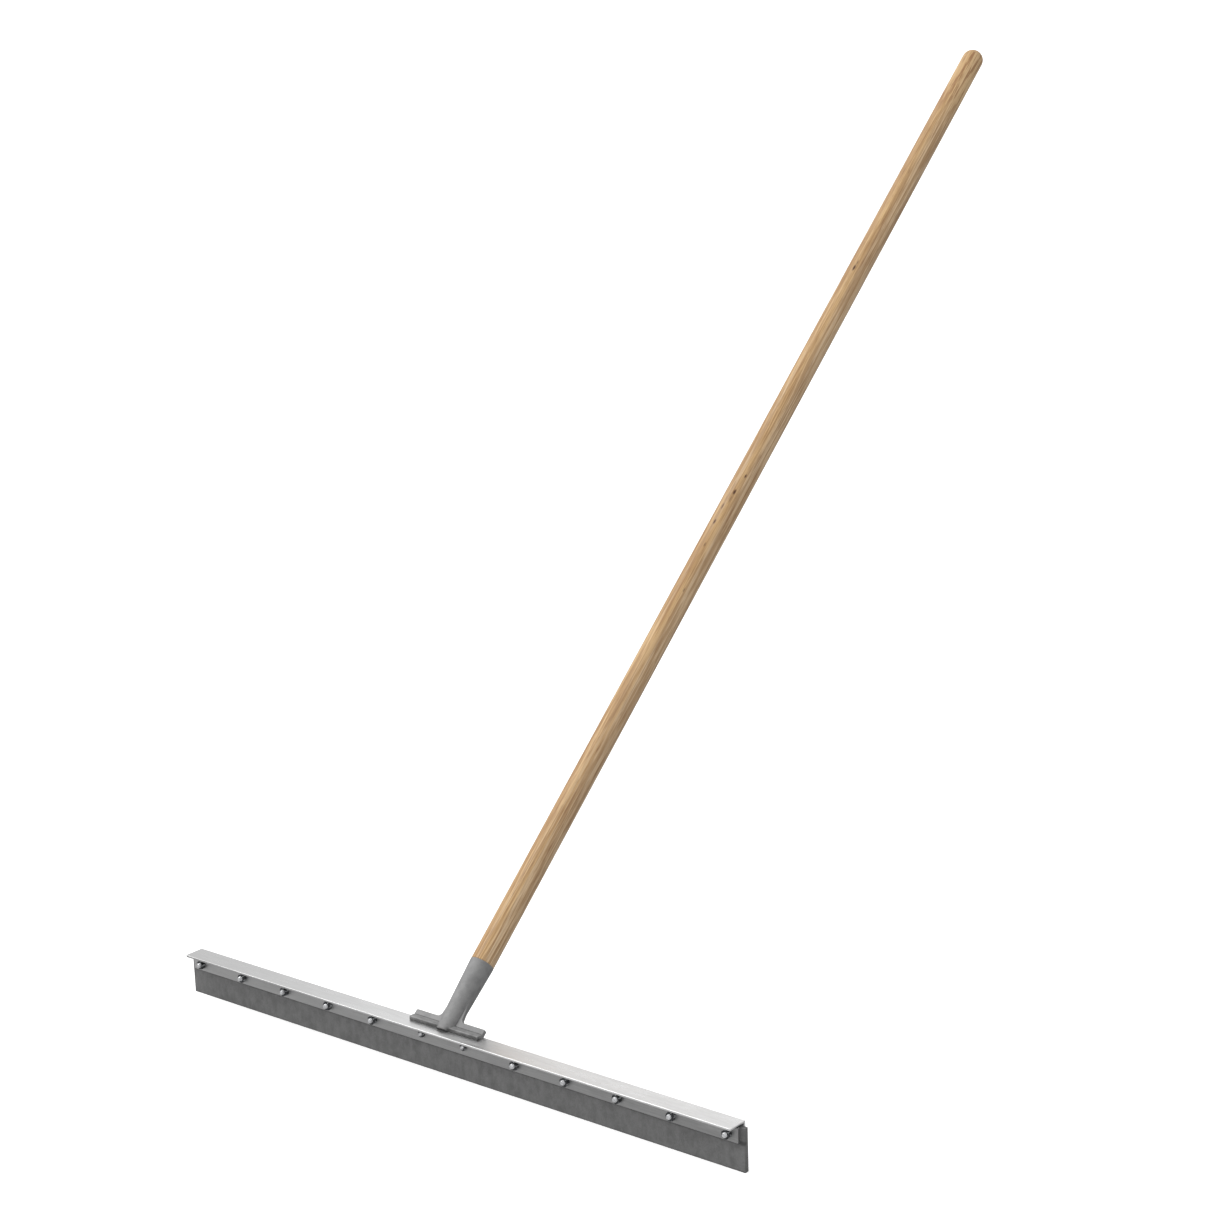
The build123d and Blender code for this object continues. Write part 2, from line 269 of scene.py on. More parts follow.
# ---- shader helpers ---------------------------------------------------------------------------
class Graph:
    """A node tree with short ways to add and join its nodes."""

    def __init__(self, tree: Tree) -> None:
        """Work on a tree.

        Args:
            tree: The node tree of a material, group or world.
        """
        self.tree = tree

    def add(self, kind: str, inputs: dict | None = None, **settings: object) -> Node:
        """Add a node.

        Args:
            kind: The node's type name, without the ShaderNode prefix.
            inputs: Socket names or numbers, each with a value or with a socket to link from.
            **settings: Properties to set on the node.

        Returns:
            The new node.
        """
        node = self.tree.nodes.new("ShaderNode" + kind)
        for name, value in settings.items():
            setattr(node, name, value)
        for socket, value in (inputs or {}).items():
            if isinstance(value, Socket):
                self.tree.links.new(value, node.inputs[socket])
            else:
                node.inputs[socket].default_value = value
        return node

    def group(self, tree: Tree, inputs: dict) -> bpy.types.bpy_prop_collection:
        """Place a node group with its inputs, and give its outputs."""
        return self.add("Group", inputs, node_tree=tree).outputs

    def math(self, operation: str, *values: object) -> Socket:
        """Result of a Math node on numbers or sockets."""
        return self.add("Math", dict(enumerate(values)), operation=operation).outputs[0]

    def vector(self, operation: str, *values: object) -> bpy.types.bpy_prop_collection:
        """Outputs of a Vector Math node on vectors or sockets."""
        return self.add("VectorMath", dict(enumerate(values)), operation=operation).outputs

    def ramp(self, value: Socket, low: object, high: object) -> Socket:
        """Smooth step of a value from 0 at a low limit to 1 at a high one."""
        inputs = {"Value": value, "From Min": low, "From Max": high}
        return self.add("MapRange", inputs, interpolation_type="SMOOTHSTEP").outputs["Result"]

    def spread(self, value: Socket, low: float, high: float) -> Socket:
        """Value from 0 to 1 spread over a range."""
        inputs = {"Value": value, "To Min": low, "To Max": high}
        return self.add("MapRange", inputs).outputs["Result"]

    def blend(
        self, amount: object, first: object, second: object, kind: str = "MIX"
    ) -> Socket:
        """Blend of two colours.

        Args:
            amount: How much of the second colour shows.
            first: A colour or a socket.
            second: A colour or a socket.
            kind: The blend type, such as MULTIPLY.

        Returns:
            The blended colour's socket.
        """
        node = self.add("Mix", data_type="RGBA", blend_type=kind)
        sockets = [socket for socket in node.inputs if socket.enabled]
        for socket, value in zip(sockets, (amount, first, second)):
            if isinstance(value, Socket):
                self.tree.links.new(value, socket)
            else:
                socket.default_value = value if socket is sockets[0] else (*value, 1)
        return next(socket for socket in node.outputs if socket.enabled)

    def tint(
        self, mask: Socket, amount: float, under: object, over: object
    ) -> Socket:
        """Colour laid over another where a mask lets it, up to an amount."""
        return self.blend(self.spread(mask, 0.0, amount), under, over)

    def noise(
        self, vector: Socket, scale: object, detail: float, roughness: float = 0.6
    ) -> Socket:
        """Noise from 0 to 1.

        Args:
            vector: Where to read it.
            scale: Features per metre: a number, or one for each axis, or a socket with either.
            detail: How many finer layers it has.
            roughness: How strong the finer layers are.

        Returns:
            The noise's socket.
        """
        inputs = {"Vector": vector, "Scale": 1.0, "Detail": detail, "Roughness": roughness}
        if isinstance(scale, tuple) or getattr(scale, "type", "VALUE") == "VECTOR":
            inputs["Vector"] = self.add("Mapping", {"Vector": vector, "Scale": scale}).outputs[0]
        else:
            inputs["Scale"] = scale
        return self.add("TexNoise", inputs).outputs["Fac"]


class Effects:
    """The shared effects, each one a node group that is built once and placed by many finishes."""

    def __init__(self) -> None:
        """Build every group."""
        self.streaks = self._streaks()
        self.speckle = self._speckle()
        self.wear_and_shade_masks = self._wear_and_shade_masks()
        self.band = self._band()
        self.fleck = self._fleck()

    @staticmethod
    def _open(name: str, inputs: dict[str, str], outputs: Sequence[str]) -> tuple:
        """Start a group with named sockets.

        Args:
            name: The group's name.
            inputs: Socket names, each with its kind: Float, Vector or Color.
            outputs: Names of the outputs, which are all numbers.

        Returns:
            The group, its Graph, its input node and its output node.
        """
        group = bpy.data.node_groups.new(name, "ShaderNodeTree")
        for label, kind in inputs.items():
            group.interface.new_socket(label, in_out="INPUT", socket_type="NodeSocket" + kind)
        for label in outputs:
            group.interface.new_socket(label, in_out="OUTPUT", socket_type="NodeSocketFloat")
        given = group.nodes.new("NodeGroupInput")
        result = group.nodes.new("NodeGroupOutput")
        return group, Graph(group), given.outputs, result.inputs

    def _streaks(self) -> Tree:
        """Fine parallel scratches of brushed or drawn metal, and broad uneven patches.

        Returns:
            The group: Fine and Broad masks from a Vector, with the Fine Scale and Broad Scale.
        """
        inputs = {"Vector": "Vector", "Fine Scale": "Vector", "Broad Scale": "Vector"}
        group, graph, given, result = self._open("brushed_streaks", inputs, ("Fine", "Broad"))
        for label, detail, low, high in (("Fine", 4.0, 0.32, 0.68), ("Broad", 3.0, 0.35, 0.65)):
            noise = graph.noise(given["Vector"], given[label + " Scale"], detail, 0.65)
            group.links.new(graph.ramp(noise, low, high), result[label])
        return group

    def _speckle(self) -> Tree:
        """Even grain of sand casting, plating or rubber, with soft blotches.

        Returns:
            The group: a Grain height and a Blotch mask from a Vector, Grain Scale and Blotch Scale.
        """
        inputs = {"Vector": "Vector", "Grain Scale": "Float", "Blotch Scale": "Float"}
        group, graph, given, result = self._open("speckle", inputs, ("Grain", "Blotch"))
        grain = graph.noise(given["Vector"], given["Grain Scale"], 3.0, 0.7)
        cells = graph.add("TexVoronoi", {"Vector": given["Vector"], "Scale": given["Grain Scale"]})
        height = graph.math("ADD", grain, cells.outputs["Distance"])
        group.links.new(graph.math("MULTIPLY", height, 0.5), result["Grain"])
        blotch = graph.noise(given["Vector"], given["Blotch Scale"], 5.0)
        group.links.new(graph.ramp(blotch, 0.38, 0.64), result["Blotch"])
        return group

    def _wear_and_shade_masks(self) -> Tree:
        """Lighter edges, for wear and painted highlight, and painted shade in corners, from the wear
        that each point of a mesh stores.

        Returns:
            The group: Edge and Corner masks from Wear, a Vector that breaks them up, and a Scale.
        """
        inputs = {"Wear": "Float", "Vector": "Vector", "Scale": "Float"}
        group, graph, given, result = self._open("edge_wear_highlight_and_corner_shade", inputs, ("Edge", "Corner"))
        rough = graph.noise(given["Vector"], given["Scale"], 4.0, 0.7)
        shift = graph.math("MULTIPLY", graph.math("SUBTRACT", rough, 0.5), 0.7)
        value = graph.math("ADD", given["Wear"], shift)
        group.links.new(graph.ramp(value, 0.3, 0.85), result["Edge"])
        group.links.new(graph.ramp(value, -0.2, -0.8), result["Corner"])
        return group

    def _band(self) -> Tree:
        """Uneven band along a straight edge that runs sideways, for painted highlights, painted
        shade and darker edge lines.

        Returns:
            The group: a Mask from a Vector, full at the edge through a Place and fading over a
            Width, counted in the directions that Across lets through.
        """
        inputs = dict.fromkeys(("Vector", "Place", "Across", "Scale"), "Vector") | {"Width": "Float"}
        group, graph, given, result = self._open("edge_band", inputs, ("Mask",))
        away = graph.vector("SUBTRACT", given["Vector"], given["Place"])[0]
        flat = graph.vector("MULTIPLY", away, given["Across"])[0]
        share = graph.math("DIVIDE", graph.vector("LENGTH", flat)["Value"], given["Width"])
        shift = graph.math("MULTIPLY", graph.noise(given["Vector"], given["Scale"], 3.0, 0.5), 1.2)
        near = graph.math("SUBTRACT", graph.math("ADD", 0.4, shift), share)
        group.links.new(graph.ramp(near, 0.0, 0.9), result["Mask"])
        return group

    def _fleck(self) -> Tree:
        """Small long blemish in wood.

        Returns:
            The group: a Mask round a Centre, with its Size along each axis.
        """
        inputs = dict.fromkeys(("Vector", "Centre", "Size"), "Vector")
        group, graph, given, result = self._open("wood_fleck", inputs, ("Mask",))
        away = graph.vector("SUBTRACT", given["Vector"], given["Centre"])[0]
        length = graph.vector("LENGTH", graph.vector("DIVIDE", away, given["Size"])[0])["Value"]
        group.links.new(graph.ramp(length, 1.0, 0.25), result["Mask"])
        return group


class Bench(Graph):
    """An open material: its nodes, its Principled shader and its Object coordinates."""

    def __init__(self, tree: Tree, effects: Effects) -> None:
        """Open a material's tree.

        Args:
            tree: The material's node tree.
            effects: The shared node groups.
        """
        super().__init__(tree)
        self.effects = effects
        self.shader = tree.nodes["Principled BSDF"]
        self.place = self.add("TexCoord").outputs["Object"]

    def feed(self, **values: Socket) -> None:
        """Link sockets to the shader's inputs, whose names have _ for a space."""
        for name, socket in values.items():
            self.tree.links.new(socket, self.shader.inputs[name.replace("_", " ")])

    def fix(self, name: str, value: float) -> None:
        """Set one of the shader's own inputs to a value that is the same all over."""
        self.shader.inputs[name].default_value = value

    def speckle(self, grain_scale: float, blotch_scale: float) -> tuple[Socket, Socket]:
        """Grain height and blotch mask of the speckle group."""
        scales = {"Grain Scale": grain_scale, "Blotch Scale": blotch_scale}
        outputs = self.group(self.effects.speckle, {"Vector": self.place} | scales)
        return outputs["Grain"], outputs["Blotch"]

    def streaks(self, fine_scale: Point, broad_scale: Point) -> tuple[Socket, Socket]:
        """Fine and broad masks of the streaks group."""
        scales = {"Fine Scale": fine_scale, "Broad Scale": broad_scale}
        outputs = self.group(self.effects.streaks, {"Vector": self.place} | scales)
        return outputs["Fine"], outputs["Broad"]

    def wear_and_shade_masks(self, scale: float) -> tuple[Socket, Socket]:
        """Edge and corner masks of the wear that the mesh stores."""
        wear = self.add("Attribute", attribute_name="wear").outputs["Fac"]
        inputs = {"Wear": wear, "Vector": self.place, "Scale": scale}
        outputs = self.group(self.effects.wear_and_shade_masks, inputs)
        return outputs["Edge"], outputs["Corner"]

    def band(self, edge: Point, width: float, scale: float) -> Socket:
        """Mask along a sideways edge, fading over a width, with ends broken up at a scale."""
        inputs = {"Place": edge, "Across": (0.0, 1.0, 1.0), "Width": width, "Scale": (scale,) * 3}
        return self.group(self.effects.band, {"Vector": self.place} | inputs)["Mask"]

    def bump(self, height: Socket, distance: float, strength: float) -> None:
        """Feed a height from 0 to 1 to the shader's normal.

        Args:
            height: The height.
            distance: The real height of 1, in metres.
            strength: How much of the bump shows.
        """
        inputs = {"Height": height, "Distance": distance, "Strength": strength}
        self.feed(Normal=self.add("Bump", inputs).outputs["Normal"])


@dataclass(frozen=True)
class Finish:
    """A material: what every finish shares."""

    name: str
    colour: Colour
    roughness: float
    metallic: float

    def make(self, effects: Effects) -> Material:
        """Build the material.

        Args:
            effects: The shared node groups.

        Returns:
            The new material.
        """
        material = bpy.data.materials.new(self.name)
        material.use_nodes = True
        bench = Bench(material.node_tree, effects)
        bench.shader.inputs["Metallic"].default_value = self.metallic
        self.paint(bench)
        return material

    def paint(self, bench: Bench) -> None:
        """Lay the finish on an open material, as each finish does in its own way."""
        raise NotImplementedError


@dataclass(frozen=True)
class DrawnAluminium(Finish):
    """Mill finish of a drawn aluminium section, with fine streaks, a painted highlight along its
    front edge and painted light and shade towards one end.
    """

    dark: Colour
    # The end colour is painted light and shade, and the edge colour below is a painted highlight.
    end_shade_colour: Colour
    highlight_colour: Colour
    edge: Point
    end_shade_full: float
    end_shade_start: float
    end_shade: float
    fine_scale: Point = (16.0, 900.0, 900.0)
    broad_scale: Point = (22.0, 110.0, 110.0)
    edge_width: float = 0.3 * MM
    edge_scale: float = 60.0

    def paint(self, bench: Bench) -> None:
        """Lay streaks, painted light and shade towards one end and a painted highlight along an edge
        on the metal.

        Args:
            bench: The open material.
        """
        fine, broad = bench.streaks(self.fine_scale, self.broad_scale)
        wear_and_highlight = bench.band(self.edge, self.edge_width, self.edge_scale)
        along = bench.add("SeparateXYZ", {"Vector": bench.place}).outputs["X"]
        # Painted light and shade: the colour shifts along X towards one end, for how the light falls
        # along the strip.
        end_shade_share = bench.ramp(along, self.end_shade_start, self.end_shade_full)
        colour = bench.tint(fine, 0.5, self.colour, self.dark)
        colour = bench.tint(broad, 0.5, colour, self.dark)
        colour = bench.tint(end_shade_share, self.end_shade, colour, self.end_shade_colour)
        # Painted highlight along an edge, dimmed towards the end with painted shade.
        colour = bench.blend(wear_and_highlight, colour, bench.blend(end_shade_share, self.highlight_colour, self.end_shade_colour))
        uneven = bench.math("MULTIPLY_ADD", broad, 0.08, bench.spread(fine, -0.06, 0.06))
        bench.feed(Base_Color=colour, Roughness=bench.math("ADD", uneven, self.roughness))
        bench.bump(fine, 0.02 * MM, 0.5)


@dataclass(frozen=True)
class CastMetal(Finish):
    """Sand-cast aluminium: grainy, blotched, lighter along its edges from wear, with painted shade
    in its hollows and along its foot.
    """

    dark: Colour
    wear_and_highlight: Colour
    # Colour of the painted shade along the foot, and where that band lies:
    shade_and_grime: Colour
    foot: Point
    foot_width: float
    foot_scale: float
    wear_scale: float
    grain_scale: float
    grain_height: float

    def paint(self, bench: Bench) -> None:
        """Lay blotches, pits, edge wear, painted shade in the hollows and painted shade along the
        foot on the metal.

        Args:
            bench: The open material.
        """
        grain, blotch = bench.speckle(self.grain_scale, self.grain_scale / 14)
        edge, corner = bench.wear_and_shade_masks(self.wear_scale)
        colour = bench.tint(blotch, 0.45, self.colour, self.dark)
        colour = bench.tint(bench.ramp(grain, 0.42, 0.2), 0.5, colour, self.dark)
        colour = bench.tint(edge, 0.3, colour, self.wear_and_highlight)
        # Painted shade: hollows and inner corners darkened.
        colour = bench.blend(bench.spread(corner, 0.0, 0.6), colour, self.dark, "MULTIPLY")
        # Painted shade: the base's front darkened down to where it meets the frame.
        foot_shade = bench.band(self.foot, self.foot_width, self.foot_scale)
        colour = bench.tint(foot_shade, 0.85, colour, self.shade_and_grime)
        rough = bench.math("ADD", bench.spread(grain, -0.08, 0.1), self.roughness)
        rough = bench.math("MULTIPLY_ADD", edge, -0.12, rough)
        bench.feed(Base_Color=colour, Roughness=rough)
        bench.bump(grain, self.grain_height, 0.8)


@dataclass(frozen=True)
class Plated(Finish):
    """Bright zinc plate on a fastener, with a fine spangle, darker blotches, painted highlights on
    its edges and painted shade in its corners.
    """

    # Colour of the darker blotches and the painted corner shade, then of the painted edge
    # highlights:
    shade_and_grime: Colour
    wear_and_highlight: Colour

    def paint(self, bench: Bench) -> None:
        """Lay spangle, painted highlights on the edges and painted shade in the corners on the
        plate.

        Args:
            bench: The open material.
        """
        grain, blotch = bench.speckle(2600.0, 260.0)
        edge, corner = bench.wear_and_shade_masks(1500.0)
        colour = bench.tint(blotch, 0.35, self.colour, self.shade_and_grime)
        # Painted highlight on the edges, painted shade in the corners.
        colour = bench.tint(edge, 0.7, colour, self.wear_and_highlight)
        colour = bench.tint(corner, 0.8, colour, self.shade_and_grime)
        rough = bench.math("MULTIPLY_ADD", blotch, 0.12, self.roughness)
        bench.feed(Base_Color=colour, Roughness=rough)
        bench.bump(grain, 0.01 * MM, 0.4)


@dataclass(frozen=True)
class BladeRubber(Finish):
    """Matt grey rubber with a faint upright mottle, darker along its bottom edge, with painted shade
    where it goes under the clamp bar.
    """

    pale: Colour
    dark: Colour
    front: float
    clamp_edge: float

    def paint(self, bench: Bench) -> None:
        """Lay mottle, a darker line along the bottom edge and painted shade under the clamp bar's
        edge on the rubber.

        Args:
            bench: The open material.
        """
        fine, broad = bench.streaks((640.0, 640.0, 420.0), (110.0, 110.0, 50.0))
        grain, blotch = bench.speckle(1500.0, 90.0)
        colour = bench.tint(fine, 0.5, self.colour, self.pale)
        colour = bench.tint(broad, 0.3, colour, self.dark)
        colour = bench.tint(blotch, 0.3, colour, self.pale)
        # Darker along the bottom edge; painted shade where the rubber goes under the clamp bar.
        for height, width, amount in ((0.0, 2.0 * MM, 0.5), (self.clamp_edge, 4.0 * MM, 0.8)):
            line = bench.band((0.0, self.front, height), width, 70.0)
            colour = bench.tint(line, amount, colour, self.dark)
        rough = bench.math("MULTIPLY_ADD", fine, 0.1, self.roughness)
        bench.feed(Base_Color=colour, Roughness=rough)
        bench.fix("Specular IOR Level", 0.35)
        bench.bump(bench.math("MULTIPLY_ADD", fine, 0.6, grain), 0.04 * MM, 0.6)


@dataclass(frozen=True)
class Fleck:
    """A dark blemish on the handle: how far up, how far round, its length and its strength."""

    distance: float
    bearing: float
    length: float
    width: float
    strength: float


@dataclass(frozen=True)
class HandleWood(Finish):
    """Straight-grained hardwood under a thin clear coat, cut from well away from the pith.

    Each layer is a noise: features per metre across and along the grain, detail, and its limits.
    """

    pale: Colour
    streak: Colour
    ring: Colour
    fleck: Colour
    grey: Colour
    red: Colour
    # Colour of the paler side, pale outer wood and painted light, and the bearing it faces:
    sap_and_light: Colour
    sap_and_light_bearing: float
    foot: Point
    tilt: float
    radius: float
    end: float
    pith: tuple[float, float]
    ring_gap: float
    red_reach: float
    flecks: Sequence[Fleck]
    layers: Sequence[tuple[float, ...]] = (
        (70.0, 3.6, 3.0, 0.36, 0.64),
        (130.0, 1.8, 2.0, 0.5, 0.64),
        (260.0, 7.0, 6.0, 0.46, 0.57),
        (620.0, 14.0, 3.0, 0.52, 0.66),
        (1500.0, 45.0, 2.0, 0.55, 0.72),
        (250.0, 15.0, 4.0, 0.49, 0.58),
        (900.0, 60.0, 2.0, 0.4, 0.7),
    )

    def paint(self, bench: Bench) -> None:
        """Lay rings, a paler side, streaks, flecks and end grain on the wood; the paler side is pale
        outer wood and painted light on the handle's right side.

        Args:
            bench: The open material.
        """
        inputs = {"Vector": bench.place, "Location": self.foot, "Rotation": (-self.tilt, 0, 0)}
        along = bench.add("Mapping", inputs, vector_type="TEXTURE").outputs[0]
        across, ahead, up = bench.add("SeparateXYZ", {"Vector": along}).outputs
        sway = bench.noise(along, (16.0, 16.0, 1.6), 2.0)
        offsets = [
            bench.math("MULTIPLY_ADD", sway, 0.03, bench.math("SUBTRACT", axis, place))
            for axis, place in zip((across, ahead), self.pith)
        ]
        square = bench.math("POWER", offsets[1], 2.0)
        square = bench.math("MULTIPLY_ADD", offsets[0], offsets[0], square)
        rings = bench.math("DIVIDE", bench.math("SQRT", square), self.ring_gap)
        wobble = bench.noise(along, (120.0, 120.0, 5.0), 3.0)
        share = bench.math("FRACT", bench.math("MULTIPLY_ADD", wobble, 0.5, rings))
        late = bench.math("MULTIPLY", bench.ramp(share, 0.35, 0.92), bench.ramp(share, 1.0, 0.94))
        broad, faded, fibre, hairs, pores, dashes, speck = (
            bench.ramp(bench.noise(along, (fine, fine, long), detail), low, high)
            for fine, long, detail, low, high in self.layers
        )
        # Paler side: pale outer wood, and painted light on the handle's right side.
        sap_and_light_side = self.on_side(self.sap_and_light_bearing, 1 / self.radius)
        side = bench.math("MULTIPLY", across, sap_and_light_side[0])
        side = bench.math("MULTIPLY_ADD", ahead, sap_and_light_side[1], side)
        sapwood_and_light = bench.ramp(bench.math("MULTIPLY_ADD", sway, 0.4, side), 0.6, 1.1)
        upper = bench.ramp(up, self.end - self.red_reach, self.end - 0.5 * self.red_reach)
        end_grain = bench.ramp(up, self.end - 1.1 * self.radius, self.end)
        colour = bench.blend(sapwood_and_light, bench.blend(broad, self.colour, self.pale), self.sap_and_light)
        colour = bench.tint(faded, 0.5, colour, self.grey)
        colour = bench.tint(fibre, 0.55, colour, self.streak)
        colour = bench.tint(hairs, 0.6, colour, self.ring)
        colour = bench.tint(late, 0.3, colour, self.ring)
        colour = bench.blend(bench.spread(pores, 0.0, 0.45), colour, self.ring, "MULTIPLY")
        colour = bench.tint(upper, 0.55, colour, self.pale)
        colour = bench.tint(bench.math("MULTIPLY", upper, dashes), 0.75, colour, self.red)
        for fleck in self.flecks:
            size = (fleck.width, fleck.width, fleck.length)
            centre = (*self.on_side(fleck.bearing, self.radius), fleck.distance)
            inputs = {"Vector": along, "Centre": centre, "Size": size}
            mark = bench.group(bench.effects.fleck, inputs)["Mask"]
            colour = bench.tint(mark, fleck.strength, colour, self.fleck)
        closed = bench.math("MULTIPLY", end_grain, bench.spread(speck, 0.3, 0.95))
        rough = bench.math("MULTIPLY_ADD", fibre, 0.12, self.roughness)
        bench.feed(Base_Color=bench.blend(closed, colour, self.ring), Roughness=rough)
        bench.fix("Specular IOR Level", 0.3)
        bench.fix("Coat Weight", 0.12)
        bench.fix("Coat Roughness", 0.3)
        grain = bench.math("MULTIPLY_ADD", pores, -0.6, bench.math("MULTIPLY", late, 0.5))
        bench.bump(grain, 0.06 * MM, 0.6)

    @staticmethod
    def on_side(bearing: float, reach: float) -> tuple[float, float]:
        """Place across the handle at a bearing in degrees from its front, and a reach."""
        turn = math.radians(bearing)
        return reach * math.sin(turn), -reach * math.cos(turn)


@dataclass(frozen=True)
class PaleFloor(Finish):
    """Plain pale studio floor, which throws only a little light back on the piece."""

    bounce: Colour
    glow: float

    def paint(self, bench: Bench) -> None:
        """Lay a pale, faintly blotched floor that glows a little to the camera.

        Args:
            bench: The open material.
        """
        _grain, blotch = bench.speckle(300.0, 2.0)
        shade = tuple(0.985 * part for part in self.colour)
        colour = bench.blend(blotch, self.colour, shade)
        seen = bench.add("LightPath").outputs["Is Camera Ray"]
        bench.feed(
            Base_Color=bench.blend(seen, self.bounce, colour),
            Emission_Color=bench.blend(seen, (0.0, 0.0, 0.0), self.colour),
        )
        bench.fix("Emission Strength", self.glow)
        bench.fix("Roughness", self.roughness)
        bench.fix("Specular IOR Level", 0.2)


# ---- the squeegee -----------------------------------------------------------------------------
@dataclass
class BladeAssembly:
    """The rubber strip, the drawn frame over it and the clamp bar in front of it."""

    effects: Effects

    def dress_frame(self) -> None:
        """Give the frame its drawn finish, with a painted highlight along its front edge and painted
        shade towards one end.
        """
        low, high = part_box("frame_angle")
        finish = DrawnAluminium(
            name="drawn_aluminium_frame",
            colour=grey(0.97),
            dark=grey(0.78),
            # Painted shade towards the low end along X, and a painted highlight along the top front
            # edge.
            end_shade_colour=grey(0.48),
            highlight_colour=(0.84, 0.84, 0.835),
            roughness=0.30,
            metallic=1.0,
            edge=(0.0, low.y, high.z),
            end_shade_full=low.x,
            end_shade_start=0.45 * high.x,
            end_shade=0.75,
        )
        dress("frame_angle", finish.make(self.effects))

    def dress_bar(self) -> None:
        """Give the clamp bar a duller drawn finish, with a painted highlight along its lower front
        edge and painted light towards one end.
        """
        low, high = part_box("clamp_bar")
        finish = DrawnAluminium(
            name="drawn_aluminium_bar",
            colour=grey(0.52),
            dark=grey(0.38),
            # Painted light towards the low end along X, and a painted highlight along the lower
            # front edge.
            end_shade_colour=grey(0.62),
            highlight_colour=grey(0.78),
            roughness=0.46,
            metallic=1.0,
            edge=(0.0, low.y, low.z),
            end_shade_full=low.x,
            end_shade_start=high.x,
            end_shade=0.6,
        )
        dress("clamp_bar", finish.make(self.effects))

    def dress_rubber(self) -> None:
        """Give the strip its grey rubber."""
        bar_low, _bar_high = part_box("clamp_bar")
        strip_low, _strip_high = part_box("rubber_blade")
        finish = BladeRubber(
            name="blade_rubber",
            colour=grey(0.162),
            pale=grey(0.25),
            dark=grey(0.065),
            roughness=0.62,
            metallic=0.0,
            front=strip_low.y,
            clamp_edge=bar_low.z,
        )
        dress("rubber_blade", finish.make(self.effects))

    def build(self) -> None:
        """Dress all three strips."""
        self.dress_frame()
        self.dress_bar()
        self.dress_rubber()
        log.info("blade: frame, clamp bar and rubber dressed")


class BoltRow(Enum):
    """The two rows of bolts."""

    BLADE = "blade"
    SOCKET = "socket"


